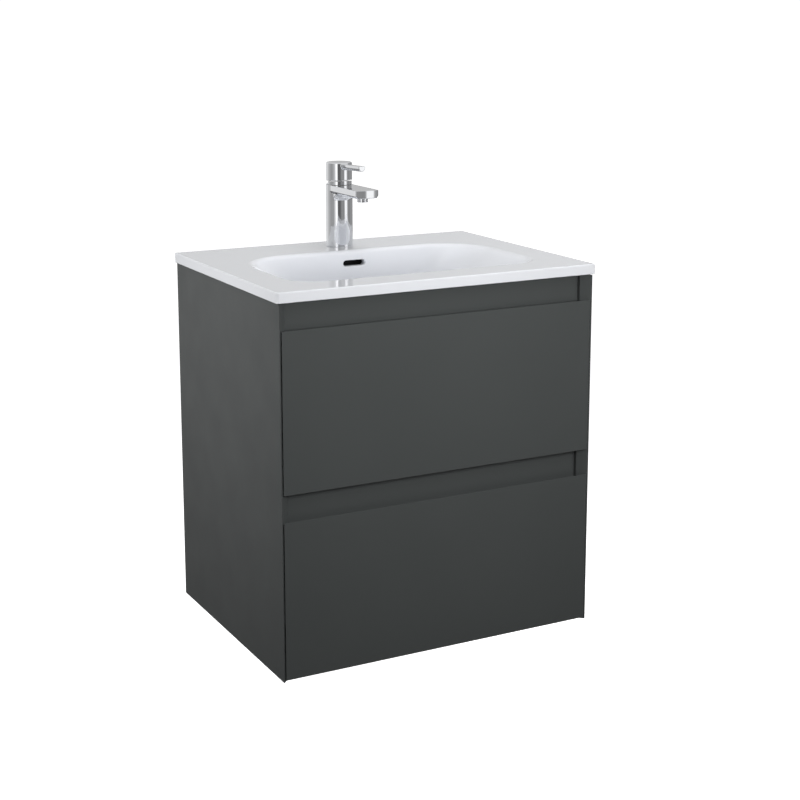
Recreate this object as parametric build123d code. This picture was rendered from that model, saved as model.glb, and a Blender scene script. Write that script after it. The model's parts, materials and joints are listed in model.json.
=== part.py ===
from build123d import *
import os
from math import cos, radians, sin

# A wall-hung bathroom vanity: a board carcass with two handleless drawers on concealed runners,
# a ceramic slab basin with its waste and bottle trap, and a single-lever tap.
# Millimetres. X runs to the viewer's right, Y towards the wall and Z up.
# The origin is on the wall plane, at the middle of the carcass's lower edge.

# ---------------------------------------------------------------- carcass
CARCASS_WIDTH = 596
CARCASS_DEPTH = 462
CARCASS_HEIGHT = 634
BOARD = 16
NOSE = 1                      # flat left on a side panel's mitred front edge
HALF = CARCASS_WIDTH / 2
INSIDE = HALF - BOARD         # inner face of a side panel, from the middle
FRONT_PLANE = -CARCASS_DEPTH

# ---------------------------------------------------------------- drawer fronts and finger channels
FRONT_THICKNESS = 19
FRONT_HEIGHT = 271
FRONT_SIDE_GAP = 2.8          # measured along X between the two parallel mitres
LOWER_FRONT_BASE = 3
CHANNEL = 45.5                # height of the finger gap above each front
UPPER_FRONT_BASE = LOWER_FRONT_BASE + FRONT_HEIGHT + CHANNEL
FRONT_BACK = FRONT_PLANE + FRONT_THICKNESS
RAIL_SETBACK = 22
RAIL_FACE = FRONT_PLANE + RAIL_SETBACK
UPPER_RAIL_BASE = 560
MIDDLE_RAIL_BASE = 252
MIDDLE_RAIL_HEIGHT = 74

# ---------------------------------------------------------------- rear rails and wall hangers
REAR_RAIL_HEIGHT = 80
REAR_RECESS = 20              # room behind the upper rear rail for the wall plates
REAR_UPPER_BASE = CARCASS_HEIGHT - REAR_RAIL_HEIGHT
PLATE_HOLE_X = 250
PLATE_HOLE_Z = (570, 612)
PLATE_HOLE_RADIUS = 3.5
HOOK_X = 269.5
HOOK_HALF_WIDTH = 1.5
HANGER_Y = (-80, -37)
HANGER_Z = (566, 626)
HANGER_SCREW_Z = (574, 588)
HANGER_SCREW_RADIUS = 2.5
HANGER_SCREW_END = -52
PLATE_X = (222, 278)
PLATE_Z = (556, 624)
PLATE_STEEL = 2
PLATE_LIP_Z = (588, 604)      # the folded lip that the hooks drop behind
PLATE_LIP_REACH = 10

# ---------------------------------------------------------------- board fittings
CAM_RADIUS = 7.5
CAM_DEPTH = 12.5
CAM_X = INSIDE - 24
BOLT_RADIUS = 3.5
BOLT_IN_PANEL = 11
FIT_GAP = 0.05                # radial gap round bolts and screws

# ---------------------------------------------------------------- basin
BEAD_HEIGHT = 2
BASIN_WIDTH = 606
BASIN_FRONT = -465
BASIN_BASE = CARCASS_HEIGHT + BEAD_HEIGHT
SLAB = 18
DECK = BASIN_BASE + SLAB
BOWL_HALF_WIDTH = 236
BOWL_FRONT = -396
BOWL_REAR = -126
BOWL_DEPTH = 105
BOWL_FLOOR = DECK - BOWL_DEPTH
FLOOR_HALF_WIDTH = 128
FLOOR_FRONT = -380
FLOOR_REAR = -132
RIM_FRONT_RADIUS = 55
RIM_REAR_RADIUS = 98
FLOOR_RADIUS = 24             # corners of the bowl's floor
FLOOR_FILLET = 14             # between the floor and the walls
CERAMIC = 10                  # wall of the bowl
DRAIN_Y = -258
DRAIN_RADIUS = 22.5
DRAIN_BOSS_BASE = BOWL_FLOOR - 21
DRAIN_BOSS_RADIUS = 36
FLANGE_RECESS = 3
FLANGE_RECESS_RADIUS = 33
DUCT_Y = (-115, -107)         # the overflow duct's passage down behind the bowl
DUCT_Z = (533, 640)
DUCT_HALF_WIDTH = 26
CHANNEL_HALF_WIDTH = 12       # its passage forward under the bowl's floor
CHANNEL_TOP = 541
OVERFLOW_Z = 630
OVERFLOW_WIDTH = 44
OVERFLOW_HEIGHT = 11

# ---------------------------------------------------------------- tap, heights above the deck
TAP_Y = -65
TAP_RADIUS = 25
TAP_HOLE_RADIUS = 17.5
SPOUT_TOP = 115.5
SPOUT_SIDE = 11
SPOUT_DEPTH = 15
SPOUT_HALF_WIDTH = 23
SPOUT_FLAT = 19               # half width of the flat underside between its two chamfers
SPOUT_TIP = -181              # Y of the spout's front corners
SPOUT_BULGE = 3.5
SPOUT_FILLET = 14
SEAL_GROOVE = 2
CARTRIDGE_BASE = 74
CARTRIDGE_RADIUS = 17.4
NUT_SEAT = 104                # where the body widens for the cartridge nut
NUT_RADIUS = 19.4
CARTRIDGE_NECK_RADIUS = 13
WATERWAY_RADIUS = 2.5
SPOUT_WATERWAY = 107
AERATOR_Y = -162
AERATOR_RADIUS = 10.2
AERATOR_BASE = 92.5
PIVOT = 112                   # height of the pin on which the lever tilts
LEVER_TOP = 157
LEVER_TIP = -161.4
LEVER_RISE = 2                # degrees
LEVER_WIDTH = 13.6
LEVER_HEIGHT = 10
CAP_RADIUS = 24.5             # the round cap at the lever's root
CAP_WALL = 2
CAP_EDGE = 1.6
CAP_DOME = 1.5
SET_SCREW_HEIGHT = 134
SET_SCREW_RADIUS = 2.5
STEM_HALF_WIDTH = 4           # of the square stem that the lever sits on
STEM_TOP = 148
STUD_Y = -52
STUD_RADIUS = 4
INLET_X = 8
INLET_Y = -72
INLET_RADIUS = 5
INLET_DEPTH = 15

# ---------------------------------------------------------------- waste and trap
WASTE_RADIUS = 20.9
WASTE_BORE = 18
WASTE_BASE = 474
PLUG_STEM_RADIUS = 4
TRAP_PIPE_Z = 438
TRAP_PIPE_RADIUS = 16
TRAP_PIPE_BORE = 14.4
TRAP_HEAD_RADIUS = 33
TRAP_NUT_Z = (465, 489)
TRAP_NUT_RADIUS = 26
DIP_TUBE_Z = (386, 472)
CUP_BASE = 362
INSERTION_DEPTH = 40          # of the outlet pipe into the wall connection

# ---------------------------------------------------------------- drawers and runners
DRAWER_SIDE = 16
DRAWER_HALF = INSIDE - 5
DRAWER_INSIDE = DRAWER_HALF - DRAWER_SIDE
DRAWER_LENGTH = 400
DRAWER_BACK = FRONT_BACK + DRAWER_LENGTH
DRAWER_BOTTOM = 8
GROOVE = 6
UPPER_RUNNER_BASE = 330
LOWER_RUNNER_BASE = 18
UPPER_SIDE_HEIGHT = 142
LOWER_SIDE_HEIGHT = 200
SIDE_ABOVE_RUNNER = 8         # from a runner's base to the lower edge of a drawer side
BOTTOM_ABOVE_RUNNER = 21      # from a runner's base to the underside of the drawer bottom
TRAP_BAY = 75                 # half width of the U cut-out round the trap
TRAP_BAY_FRONT = -345
COVER_WALL = 3
RUNNER_FRONT = -438
RUNNER_LENGTH = 400
STEEL = 1.5


def block(x, y, z):
    """A box from its low and high ends along X, Y and Z."""
    ends = (x, y, z)
    middle = [(low + high) / 2 for low, high in ends]
    return Pos(*middle) * Box(*[high - low for low, high in ends])


def rod(axis, ends, radius, centre):
    """A cylinder along one axis; centre gives its place on the other two, in X, Y, Z order."""
    low, high = ends
    turn = {"X": Rot(0, 90, 0), "Y": Rot(90, 0, 0), "Z": Rot(0, 0, 0)}[axis]
    place = list(centre)
    place.insert("XYZ".index(axis), (low + high) / 2)
    return Pos(*place) * turn * Cylinder(radius, high - low)


def ring(axis, ends, outer, inner, centre):
    return rod(axis, ends, outer, centre) - rod(axis, ends, inner, centre)


def prism(axis, ends, outline):
    """A straight prism along one axis over an outline drawn on the other two."""
    low, high = ends
    plane = {"X": Plane.YZ.offset(low), "Y": Plane.XZ.offset(-high), "Z": Plane.XY.offset(low)}[axis]
    return extrude(plane * make_face(Polyline(*outline, close=True)), high - low)


def hexagon(ends, across_flats, centre):
    low, high = ends
    face = RegularPolygon(across_flats / 2, 6, major_radius=False)
    return extrude(Pos(*centre, low) * face, high - low)


def other_side(shape):
    return mirror(shape, about=Plane.YZ)


def pair(shape):
    """The shape and its mirror image on the cabinet's other side."""
    return [shape, other_side(shape)]


def save(node, *solids):
    shape = solids[0] if len(solids) == 1 else Compound(children=list(solids))
    export_step(shape, f"parts/{node}.step")


RAIL_BACK = RAIL_FACE + BOARD
RAIL_MIDDLE = RAIL_FACE + BOARD / 2

# Where cam fittings join a board to the side panels: the axis of the cam, where its bore opens along
# that axis and which way it goes in, and the place of the bolt as (y, z).
CAM_PLACES = {
    "bottom_panel": [("Z", 0, 1, (y, BOARD / 2)) for y in (-400, -60)],
    "handle_rail_upper": [("Y", RAIL_BACK, -1, (RAIL_MIDDLE, 600))],
    "handle_rail_middle": [("Y", RAIL_BACK, -1, (RAIL_MIDDLE, 289))],
    "rear_rail_upper": [("Y", -REAR_RECESS - BOARD, 1, (-REAR_RECESS - BOARD / 2, 572))],
    "rear_rail_lower": [("Y", -BOARD, 1, (-BOARD / 2, 60))],
}


def cam(place, extra=0.0):
    axis, mouth, inward, (y, z) = place
    ends = sorted((mouth, mouth + inward * CAM_DEPTH))
    across = (CAM_X, y) if axis == "Z" else (CAM_X, z)
    return rod(axis, ends, CAM_RADIUS + extra, across)


def bolt(place, extra=0.0):
    centre = place[-1]
    return rod("X", (CAM_X + CAM_RADIUS + 0.2, INSIDE + BOLT_IN_PANEL + extra), BOLT_RADIUS + extra, centre)


def drill_for_cams(board, places):
    for place in places:
        for side in pair(cam(place, FIT_GAP)) + pair(bolt(place, FIT_GAP)):
            board -= side
    return board


def runner_screw_places():
    """The runner screws, as (y, z) on the side panels."""
    heights = [base + 20 for base in (UPPER_RUNNER_BASE, LOWER_RUNNER_BASE)]
    return [(y, z) for z in heights for y in (-410, -240, -70)]


def make_carcass():
    outline = [
        (INSIDE, 0),
        (HALF, 0),
        (HALF, FRONT_PLANE),
        (HALF - NOSE, FRONT_PLANE),
        (INSIDE, FRONT_PLANE + BOARD - NOSE),
    ]
    panel = prism("Z", (0, CARCASS_HEIGHT), outline)
    for places in CAM_PLACES.values():
        for place in places:
            panel -= bolt(place, FIT_GAP)
    for centre in runner_screw_places():
        panel -= rod("X", (INSIDE, INSIDE + 12), 2 + FIT_GAP, centre)
    save("side_panel_right", panel)
    save("side_panel_left", other_side(panel))

    across = (-INSIDE, INSIDE)
    rail_y = (RAIL_FACE, RAIL_FACE + BOARD)
    boards = {
        "bottom_panel": block(across, (RAIL_FACE, -BOARD), (0, BOARD)),
        "handle_rail_upper": block(across, rail_y, (UPPER_RAIL_BASE, CARCASS_HEIGHT)),
        "handle_rail_middle": block(
            across, rail_y, (MIDDLE_RAIL_BASE, MIDDLE_RAIL_BASE + MIDDLE_RAIL_HEIGHT)
        ),
        "rear_rail_upper": block(
            across, (-REAR_RECESS - BOARD, -REAR_RECESS), (REAR_UPPER_BASE, CARCASS_HEIGHT)
        ),
        "rear_rail_lower": block(across, (-BOARD, 0), (0, BOARD + REAR_RAIL_HEIGHT)),
    }
    for slot in pair(block((262, 277), (-REAR_RECESS - BOARD, -REAR_RECESS), (588, 620))):
        boards["rear_rail_upper"] -= slot
    for node, board in boards.items():
        save(node, drill_for_cams(board, CAM_PLACES[node]))

    places = [place for board in CAM_PLACES.values() for place in board]
    save("cam_locks", *[side for place in places for side in pair(cam(place) - cross_slot(place))])
    save("cam_bolts", *[side for place in places for side in pair(bolt(place))])


def cross_slot(place):
    """The screwdriver slot in a cam's open end."""
    axis, mouth, inward, (y, z) = place
    ends = sorted((mouth, mouth + inward * 2))
    if axis == "Z":
        return block((CAM_X - 5, CAM_X + 5), (y - 1, y + 1), ends)
    return block((CAM_X - 5, CAM_X + 5), ends, (z - 1, z + 1))


def make_hangers():
    """Two adjustable cabinet hangers, hooked over two plates that are screwed to the wall."""
    body = block((259, INSIDE), HANGER_Y, HANGER_Z)
    body -= block((266, 273), (-72, HANGER_Y[1]), (600, 620))
    for z in HANGER_SCREW_Z:
        body -= rod("Y", (HANGER_Y[0], -50), HANGER_SCREW_RADIUS + FIT_GAP, (HOOK_X, z))
    save("cabinet_hangers", *pair(body))

    hook_x = (HOOK_X - HOOK_HALF_WIDTH, HOOK_X + HOOK_HALF_WIDTH)
    arm = block(hook_x, (-70, -3.5), (606, 614))
    nose = block(hook_x, (-6.5, -3.5), (592, 606))
    save("hanger_hooks", *pair(arm + nose))

    screws = []
    head_y = (HANGER_Y[0] - 3, HANGER_Y[0])
    slot_y = (head_y[0], head_y[0] + 1.5)
    for z in HANGER_SCREW_Z:
        head = rod("Y", head_y, 4.5, (HOOK_X, z))
        head -= block((HOOK_X - 3, HOOK_X + 3), slot_y, (z - 0.6, z + 0.6))
        shank = rod("Y", (HANGER_Y[0], HANGER_SCREW_END), HANGER_SCREW_RADIUS, (HOOK_X, z))
        screws += pair(head + shank)
    save("hanger_screws", *screws)

    lip_base, lip_top = PLATE_LIP_Z
    plate = block(PLATE_X, (-PLATE_STEEL, 0), PLATE_Z)
    plate += block(PLATE_X, (-PLATE_LIP_REACH, -PLATE_STEEL), (lip_base, lip_base + PLATE_STEEL))
    lip_y = (-PLATE_LIP_REACH, PLATE_STEEL - PLATE_LIP_REACH)
    plate += block(PLATE_X, lip_y, (lip_base + PLATE_STEEL, lip_top))
    for z in PLATE_HOLE_Z:
        plate -= rod("Y", (-PLATE_STEEL, 0), PLATE_HOLE_RADIUS, (PLATE_HOLE_X, z))
    save("wall_plates", *pair(plate))


def bowl_face(z, half_width, front, rear, front_radius, rear_radius):
    corners = [(-half_width, front), (half_width, front), (half_width, rear), (-half_width, rear)]
    face = Plane.XY.offset(z) * make_face(Polyline(*corners, close=True))
    face = fillet(face.vertices().group_by(Axis.Y)[0], front_radius)
    return fillet(face.vertices().group_by(Axis.Y)[-1], rear_radius)


def bowl_solid(wall):
    """The bowl's hollow, or with a wall thickness the outside of the bowl."""
    rim = bowl_face(
        DECK,
        BOWL_HALF_WIDTH + wall,
        BOWL_FRONT - wall,
        BOWL_REAR + wall,
        RIM_FRONT_RADIUS + wall,
        RIM_REAR_RADIUS + wall,
    )
    floor = bowl_face(
        BOWL_FLOOR - wall,
        FLOOR_HALF_WIDTH + wall,
        FLOOR_FRONT - wall,
        FLOOR_REAR + wall,
        FLOOR_RADIUS + wall,
        FLOOR_RADIUS + wall,
    )
    return loft([floor, rim], ruled=True)


def make_basin():
    half = BASIN_WIDTH / 2
    slab = block((-half, half), (BASIN_FRONT, 0), (BASIN_BASE, DECK))
    slab = fillet(slab.edges().filter_by(Axis.Z).group_by(Axis.Y)[0], 3)
    slab = chamfer(slab.faces().sort_by(Axis.Z)[-1].edges(), 1)

    hollow = bowl_solid(0)
    hollow = fillet(hollow.faces().sort_by(Axis.Z)[0].edges(), FLOOR_FILLET)
    outside = bowl_solid(CERAMIC)
    outside += rod("Z", (DRAIN_BOSS_BASE, BOWL_FLOOR), DRAIN_BOSS_RADIUS, (0, DRAIN_Y))
    # The overflow duct runs down behind the bowl and forward under its floor to the waste.
    duct_outside = 8
    duct_x = DUCT_HALF_WIDTH + duct_outside
    channel_x = CHANNEL_HALF_WIDTH + duct_outside
    outside += block((-duct_x, duct_x), (-130, -100), (DRAIN_BOSS_BASE, BASIN_BASE))
    outside += block((-channel_x, channel_x), (DRAIN_Y, -100), (DRAIN_BOSS_BASE, BOWL_FLOOR - CERAMIC))
    outside &= block((-half, half), (BASIN_FRONT, 0), (DRAIN_BOSS_BASE, DECK))
    basin = slab + outside
    basin -= hollow
    basin -= block((-DUCT_HALF_WIDTH, DUCT_HALF_WIDTH), DUCT_Y, DUCT_Z)
    basin -= block(
        (-CHANNEL_HALF_WIDTH, CHANNEL_HALF_WIDTH), (DRAIN_Y, DUCT_Y[1]), (DUCT_Z[0], CHANNEL_TOP)
    )
    basin -= rod("Z", (DRAIN_BOSS_BASE, BOWL_FLOOR), DRAIN_RADIUS, (0, DRAIN_Y))
    basin -= rod("Z", (BOWL_FLOOR - FLANGE_RECESS, BOWL_FLOOR), FLANGE_RECESS_RADIUS, (0, DRAIN_Y))
    slot = SlotOverall(OVERFLOW_WIDTH, OVERFLOW_HEIGHT)
    basin -= extrude(Plane.XZ.offset(-DUCT_Y[1]) * Pos(0, OVERFLOW_Z) * slot, 30)
    basin -= rod("Z", (BASIN_BASE, DECK), TAP_HOLE_RADIUS, (0, TAP_Y))
    save("basin", basin)

    bead_outer = block((-295, 295), (-438, -22), (CARCASS_HEIGHT, BASIN_BASE))
    bead_inner = block((-285, 285), (-428, -34), (CARCASS_HEIGHT, BASIN_BASE))
    save("silicone_bead", bead_outer - bead_inner)


def tap_rod(low, high, radius, x=0.0, y=TAP_Y):
    """An upright cylinder between two heights above the deck, on the tap's axis if not told otherwise."""
    return rod("Z", (DECK + low, DECK + high), radius, (x, y))


def tap_ring(low, high, outer, inner):
    return tap_rod(low, high, outer) - tap_rod(low, high, inner)


def make_spout():
    """A flat plate with chamfered lower corners and a gently convex front, filleted into the body."""
    top = DECK + SPOUT_TOP
    section = prism(
        "Y",
        (SPOUT_TIP - SPOUT_BULGE, TAP_Y),
        [
            (-SPOUT_HALF_WIDTH, top),
            (SPOUT_HALF_WIDTH, top),
            (SPOUT_HALF_WIDTH, top - SPOUT_SIDE),
            (SPOUT_FLAT, top - SPOUT_DEPTH),
            (-SPOUT_FLAT, top - SPOUT_DEPTH),
            (-SPOUT_HALF_WIDTH, top - SPOUT_SIDE),
        ],
    )
    left, right = (-SPOUT_HALF_WIDTH, SPOUT_TIP), (SPOUT_HALF_WIDTH, SPOUT_TIP)
    plan = make_face([
        ThreePointArc(left, (0, SPOUT_TIP - SPOUT_BULGE), right),
        Polyline(right, (SPOUT_HALF_WIDTH, TAP_Y), (-SPOUT_HALF_WIDTH, TAP_Y), left),
    ])
    spout = section & extrude(Plane.XY.offset(top - SPOUT_DEPTH) * plan, SPOUT_DEPTH)

    high = top - SPOUT_DEPTH
    low = high - SPOUT_FILLET
    outer = TAP_RADIUS + SPOUT_FILLET
    halfway = SPOUT_FILLET * cos(radians(45))
    root = TAP_RADIUS - 3
    profile = make_face([
        ThreePointArc((TAP_RADIUS, low), (outer - halfway, low + halfway), (outer, high)),
        Polyline((outer, high), (root, high), (root, low), (TAP_RADIUS, low)),
    ])
    collar = Pos(0, TAP_Y, 0) * revolve(Plane.XZ * profile, Axis.Z)
    collar &= block((-SPOUT_FLAT, SPOUT_FLAT), (TAP_Y - outer, TAP_Y), (low, high))
    return spout + collar


def make_tap_body():
    body = tap_rod(0, SPOUT_TOP, TAP_RADIUS) + make_spout()
    body -= tap_rod(CARTRIDGE_BASE, NUT_SEAT, CARTRIDGE_RADIUS + 0.1)
    body -= tap_rod(NUT_SEAT, SPOUT_TOP, NUT_RADIUS + 0.1)
    body -= tap_ring(0, SEAL_GROOVE, 22.5, 19)
    body -= tap_rod(0, 16, STUD_RADIUS + FIT_GAP, 0, STUD_Y)
    for x in (-INLET_X, INLET_X):
        body -= tap_rod(0, INLET_DEPTH, INLET_RADIUS, x, INLET_Y)
        body -= tap_rod(INLET_DEPTH, CARTRIDGE_BASE, WATERWAY_RADIUS, x, INLET_Y)
    body -= rod("Y", (AERATOR_Y, TAP_Y - 17), 4, (0, DECK + SPOUT_WATERWAY))
    body -= tap_rod(SPOUT_TOP - SPOUT_DEPTH, 110, AERATOR_RADIUS + FIT_GAP, 0, AERATOR_Y)
    save("tap_body", body)

    save("tap_base_seal", tap_ring(0, SEAL_GROOVE, 22.4, 19.1))
    aerator = tap_rod(AERATOR_BASE, 109.5, AERATOR_RADIUS, 0, AERATOR_Y)
    aerator -= tap_rod(AERATOR_BASE, AERATOR_BASE + 3, 8, 0, AERATOR_Y)
    save("tap_aerator", aerator)


def side_outline(points):
    """Points given as (distance behind the tap's axis, height above the deck), for a prism along X."""
    return [(TAP_Y + y, DECK + z) for y, z in points]


def make_tap_handle():
    wide = (-40, 40)
    cartridge = tap_rod(CARTRIDGE_BASE, 106, CARTRIDGE_RADIUS)
    cartridge += tap_ring(106, 117, CARTRIDGE_NECK_RADIUS, 9.7)
    cartridge += tap_rod(106, 107, 9.7)
    save("tap_cartridge", cartridge)
    save("tap_cartridge_nut", tap_ring(106.1, 118.5, NUT_RADIUS, CARTRIDGE_NECK_RADIUS + 0.1))

    carrier = tap_rod(107.1, 117, 9.65)
    carrier -= block((-4.15, 4.15), (TAP_Y - 12, TAP_Y + 12), (DECK + 108, DECK + 117))
    carrier -= rod("X", (-10, 10), 1.55, (TAP_Y, DECK + PIVOT))
    save("tap_stem_carrier", carrier)

    # The collar turns with the lever. Its back is cut down so that the lever's skirt can drop there.
    collar = tap_ring(SPOUT_TOP + 0.3, 125, 23.6, 20.4) + tap_rod(119.3, 121, 23.6)
    collar_top = [(-30, 123.9), (-8, 121.7), (8, 117.5), (30, 117.5), (30, 140), (-30, 140)]
    collar -= prism("X", wide, side_outline(collar_top))
    collar -= block((-4.3, 4.3), (TAP_Y - 5, TAP_Y + 14), (DECK + 119, DECK + 122))
    save("tap_collar", collar)

    stem = block(
        (-STEM_HALF_WIDTH, STEM_HALF_WIDTH),
        (TAP_Y - STEM_HALF_WIDTH, TAP_Y + STEM_HALF_WIDTH),
        (DECK + 109.5, DECK + STEM_TOP),
    )
    stem += rod("X", (-9, 9), 1.5, (TAP_Y, DECK + PIVOT))
    save("tap_stem", stem)

    profile = make_face([
        Polyline((0, LEVER_TOP + CAP_DOME), (0, 118), (CAP_RADIUS, 118), (CAP_RADIUS, LEVER_TOP - CAP_EDGE)),
        TangentArc(
            (CAP_RADIUS, LEVER_TOP - CAP_EDGE), (CAP_RADIUS - CAP_EDGE, LEVER_TOP), tangent=(0, 1)
        ),
        TangentArc((0, LEVER_TOP + CAP_DOME), (CAP_RADIUS - CAP_EDGE, LEVER_TOP), tangent=(1, 0)),
    ])
    lever = Pos(0, TAP_Y, DECK) * revolve(Plane.XZ * profile, Axis.Z)
    lever += make_lever_bar()
    lever -= tap_rod(110, 140, CAP_RADIUS - CAP_WALL)
    lever += tap_rod(127, 141, 9.5)
    rim = [(-30, 125), (10, 122.7), (30, 129.1), (30, 100), (-30, 100)]
    lever -= prism("X", wide, side_outline(rim))
    socket = STEM_HALF_WIDTH + FIT_GAP
    lever -= block((-socket, socket), (TAP_Y - socket, TAP_Y + socket), (DECK + 120, DECK + STEM_TOP + 0.1))
    screw_centre = (0, DECK + SET_SCREW_HEIGHT)
    lever -= rod("Y", (TAP_Y, TAP_Y + 30), SET_SCREW_RADIUS + FIT_GAP, screw_centre)
    save("tap_lever", lever)
    screw = rod("Y", (TAP_Y + 4.2, TAP_Y + 9.5), SET_SCREW_RADIUS, screw_centre)
    screw -= hex_socket()
    save("lever_set_screw", screw)


def hex_socket():
    face = RegularPolygon(1.25, 6, major_radius=False)
    return extrude(Plane.XZ.offset(-(TAP_Y + 9.5)) * Pos(0, DECK + SET_SCREW_HEIGHT) * face, 2.5)


def make_lever_bar():
    """The lever's bar: a flat top and a rounded underside, rising slightly to its tip."""
    half = LEVER_WIDTH / 2
    face = make_face([
        Polyline((-half, half - LEVER_HEIGHT), (-half, 0), (half, 0), (half, half - LEVER_HEIGHT)),
        ThreePointArc((half, half - LEVER_HEIGHT), (0, -LEVER_HEIGHT), (-half, half - LEVER_HEIGHT)),
    ])
    tilt = radians(LEVER_RISE)
    tip = Plane(
        origin=(0, LEVER_TIP, DECK + LEVER_TOP),
        x_dir=(1, 0, 0),
        z_dir=(0, -cos(tilt), sin(tilt)),
    )
    return extrude(tip * face, -82)


def make_tap_fixings():
    save("tap_fixing_stud", rod("Z", (586, DECK + 16), STUD_RADIUS, (0, STUD_Y)))
    washer_z = (BASIN_BASE - 4, BASIN_BASE)
    washer = rod("Z", washer_z, 23, (0, TAP_Y))
    # The supply hoses pass through the notch in the washer.
    washer -= block((-15, 15), (TAP_Y - 30, -61), washer_z)
    washer -= rod("Z", washer_z, STUD_RADIUS + 0.3, (0, STUD_Y))
    save("tap_fixing_washer", washer)
    nut_z = (washer_z[0] - 8, washer_z[0])
    nut = hexagon(nut_z, 13, (0, STUD_Y))
    save("tap_fixing_nut", nut - rod("Z", nut_z, STUD_RADIUS + FIT_GAP, (0, STUD_Y)))


def drain_rod(low, high, radius):
    return rod("Z", (low, high), radius, (0, DRAIN_Y))


def drain_ring(low, high, outer, inner):
    return drain_rod(low, high, outer) - drain_rod(low, high, inner)


def make_waste():
    recess = BOWL_FLOOR - FLANGE_RECESS
    body = drain_rod(recess + 1, recess + 3, 31.5) + drain_rod(WASTE_BASE, recess + 1, WASTE_RADIUS)
    body -= drain_rod(WASTE_BASE, recess + 3, WASTE_BORE)
    body -= block((-6, 6), (DRAIN_Y - 30, DRAIN_Y + 30), (DUCT_Z[0], CHANNEL_TOP))
    guide_z = (504, 509)
    guide = block((-WASTE_BORE - 1, WASTE_BORE + 1), (DRAIN_Y - 2, DRAIN_Y + 2), guide_z)
    guide += drain_rod(*guide_z, 7)
    body += guide - drain_rod(*guide_z, PLUG_STEM_RADIUS + 0.06)
    save("waste_body", body)
    nut_top = DRAIN_BOSS_BASE - 3
    save(
        "waste_seals",
        drain_ring(recess, recess + 1, 31, 21.5),
        drain_ring(nut_top, DRAIN_BOSS_BASE, 31, WASTE_RADIUS + FIT_GAP),
    )
    nut = hexagon((nut_top - 11, nut_top), 60, (0, DRAIN_Y))
    save("waste_nut", nut - drain_rod(nut_top - 11, nut_top, WASTE_RADIUS + FIT_GAP))
    cap = drain_rod(BOWL_FLOOR + 0.5, BOWL_FLOOR + 5, 32)
    cap = fillet(cap.edges().sort_by(Axis.Z)[-1], 2)
    save("waste_plug", cap + drain_rod(495, BOWL_FLOOR + 0.5, PLUG_STEM_RADIUS))


def make_trap():
    """A bottle trap: a dip tube in a cup that unscrews, and an outlet pipe to the wall."""
    nut_base, nut_top = TRAP_NUT_Z
    nut = drain_ring(nut_base, nut_top, TRAP_NUT_RADIUS, WASTE_RADIUS + FIT_GAP)
    nut += drain_ring(nut_base - 3, nut_base, TRAP_NUT_RADIUS, TRAP_PIPE_RADIUS + 0.2)
    for turn in range(0, 360, 45):
        nut += Pos(0, DRAIN_Y, 476) * Rot(0, 0, turn) * Pos(TRAP_NUT_RADIUS, 0, 0) * Box(3, 5, 24)
    nut -= drain_rod(nut_base, nut_top, WASTE_RADIUS + FIT_GAP)
    save("trap_inlet_nut", nut)

    centre = (0, TRAP_PIPE_Z)
    port_y = (DRAIN_Y + 20, DRAIN_Y + 48)
    head = drain_rod(418, 452, TRAP_HEAD_RADIUS) + drain_rod(404, 418, 29.8)
    head += rod("Y", port_y, 20, centre)
    head -= drain_rod(404, 448, 26)
    head -= rod("Y", port_y, TRAP_PIPE_RADIUS + FIT_GAP, centre)
    tube_base, tube_top = DIP_TUBE_Z
    tube = drain_rod(tube_base, tube_top, TRAP_PIPE_RADIUS) + drain_rod(tube_top - 6, tube_top, 20.5)
    save("trap_body", head + tube - drain_rod(tube_base, tube_top, TRAP_PIPE_BORE))

    cup = drain_ring(CUP_BASE + 4, 417.8, TRAP_HEAD_RADIUS, 30)
    cup += drain_rod(CUP_BASE, CUP_BASE + 4, TRAP_HEAD_RADIUS)
    cup = fillet(cup.edges().sort_by(Axis.Z)[0], 2.5)
    for turn in range(0, 360, 45):
        cup += Pos(0, DRAIN_Y, 406) * Rot(0, 0, turn) * Pos(TRAP_HEAD_RADIUS, 0, 0) * Box(3, 5, 18)
    save("trap_cup", cup)

    pipe = ring("Y", (DRAIN_Y + 36, 0), TRAP_PIPE_RADIUS, TRAP_PIPE_BORE, centre)
    # A shallow groove marks how deep the pipe goes into the wall connection.
    pipe -= ring("Y", (-INSERTION_DEPTH - 1, -INSERTION_DEPTH), TRAP_PIPE_RADIUS + 1, 15.7, centre)
    save("trap_outlet_pipe", pipe)
    nut_y = (port_y[1] + 0.2, port_y[1] + 18)
    nut = ring("Y", nut_y, 25, TRAP_PIPE_RADIUS + FIT_GAP, centre)
    for turn in range(0, 360, 45):
        nut += Pos(0, sum(nut_y) / 2, TRAP_PIPE_Z) * Rot(0, turn, 0) * Pos(25, 0, 0) * Box(3, 17.8, 5)
    save("trap_outlet_nut", nut)


def drawer_front(base):
    """A front panel with mitred sides and a top edge bevelled back from its face."""
    face = HALF - NOSE - FRONT_SIDE_GAP
    outline = [
        (-face, FRONT_PLANE),
        (face, FRONT_PLANE),
        (face - FRONT_THICKNESS, FRONT_BACK),
        (FRONT_THICKNESS - face, FRONT_BACK),
    ]
    top = base + FRONT_HEIGHT
    front = prism("Z", (base, top), outline)
    bevel = [(FRONT_PLANE, top), (FRONT_BACK, top), (FRONT_BACK, top - FRONT_THICKNESS)]
    return front - prism("X", (-HALF, HALF), bevel)


def drawer_side(runner_base, height):
    base = runner_base + SIDE_ABOVE_RUNNER
    side = block((DRAWER_INSIDE, DRAWER_HALF), (FRONT_BACK, DRAWER_BACK), (base, base + height))
    groove_base = runner_base + BOTTOM_ABOVE_RUNNER
    return side - block(
        (DRAWER_INSIDE, DRAWER_INSIDE + GROOVE),
        (FRONT_BACK, DRAWER_BACK),
        (groove_base, groove_base + DRAWER_BOTTOM),
    )


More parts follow.
